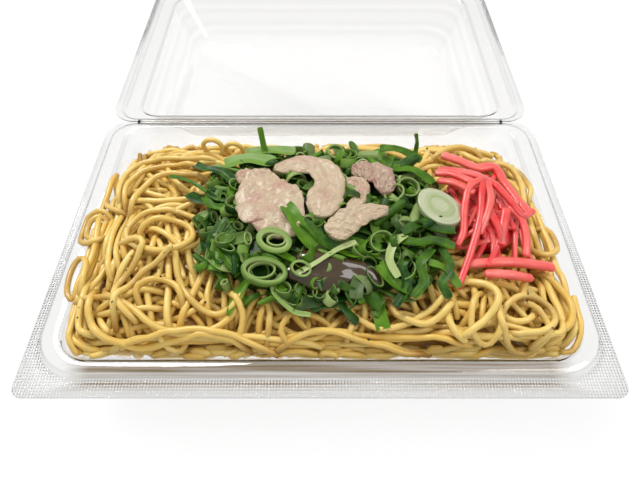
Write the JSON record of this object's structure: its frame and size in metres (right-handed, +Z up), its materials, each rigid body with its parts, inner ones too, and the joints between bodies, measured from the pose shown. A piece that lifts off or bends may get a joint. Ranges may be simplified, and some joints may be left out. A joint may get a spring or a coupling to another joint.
{
  "type": "yakisoba in a hinged takeaway pack",
  "caption": "Fried noodles with pork, chopped green onion and red pickled ginger in a clear plastic pack whose hinged lid lies open behind the tray.",
  "frame": {"origin": "middle of the tray's flat underside", "axes": "+X to the eater's right, +Y from the tray's front edge back to the open lid, +Z up"},
  "size_m": [0.2, 0.2664, 0.0519],
  "materials": {
    "clear_plastic": "clear thin pressed sheet, glossy, with a fine embossed pattern on the flanges",
    "noodle": "moist, lightly oiled fried noodle with a sauce tint",
    "green_onion": "fresh cut green onion, waxy",
    "pork": "boiled thin pork, pale, moist",
    "onion": "raw cut onion, translucent, moist",
    "ginger": "red pickled ginger, wet"
  },
  "bodies": {
    "tray": {"tray_shell": "clear_plastic", "noodles": "noodle", "greens": "green_onion", "pork_slice_a": "pork", "pork_slice_b": "pork", "pork_slice_c": "pork", "pork_slice_d": "pork", "pork_slice_e": "pork", "pork_bit": "pork", "onion_slice": "onion", "ginger_heap": "ginger", "ginger_strip_long": "ginger", "ginger_strip_short": "ginger", "ginger_strip_back": "ginger"},
    "lid": {"lid_shell": "clear_plastic"}
  },
  "joints": [
    {"name": "lid_hinge", "type": "hinge", "parent": "tray", "child": "lid", "pos_m": [0, 0.0665, 0.0282], "axis": [1, 0, 0], "range_deg": [0, 180]}
  ]
}
